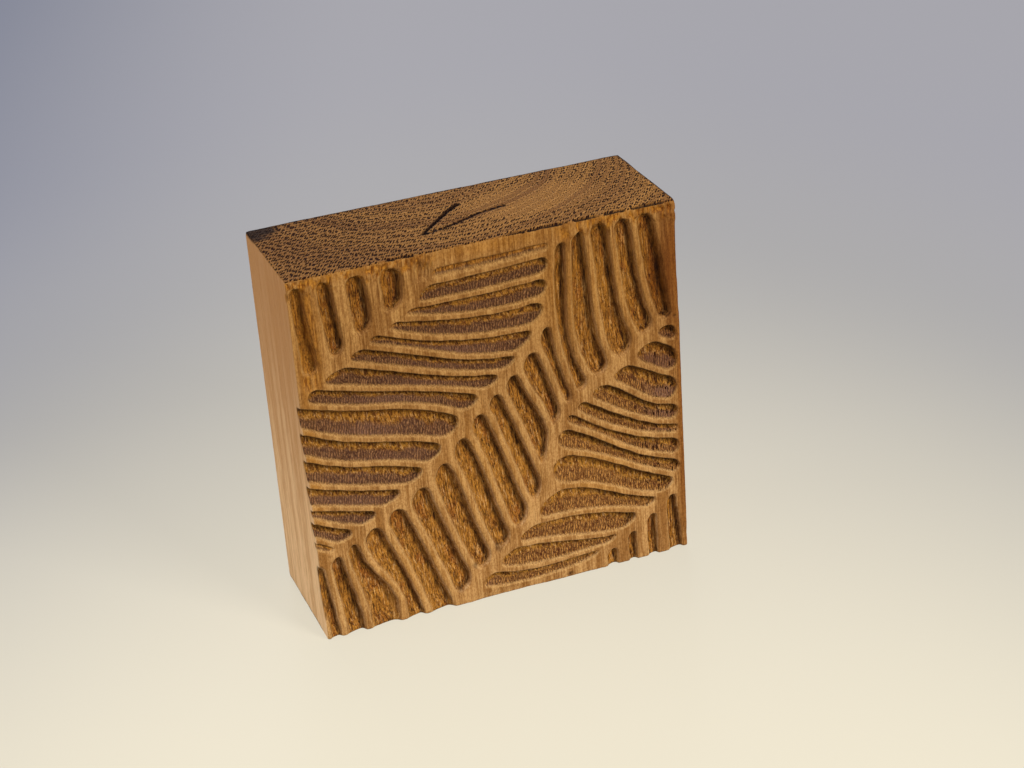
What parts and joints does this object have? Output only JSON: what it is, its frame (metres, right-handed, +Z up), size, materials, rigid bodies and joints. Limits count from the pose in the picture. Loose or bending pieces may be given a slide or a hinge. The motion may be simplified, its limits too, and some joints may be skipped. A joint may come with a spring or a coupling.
{
  "type": "carved pattern stamp block",
  "caption": "Rectangular hardwood stamp block whose face is carved with fans of rounded grooves between raised veins, for pressing or printing a repeating leaf-like texture.",
  "frame": {"origin": "centre of the bounding box at the foot of the block, on the surface that it stands on", "axes": "+Z up along the grain, the carved face looks toward -Y, +X to the right as seen by someone who faces the carving"},
  "size_m": [0.06, 0.0212, 0.0594],
  "materials": {
    "oak": "bare oak, cut and carved, lightly burnished crests"
  },
  "bodies": {
    "root": {"stamp_block": "oak"}
  },
  "joints": []
}
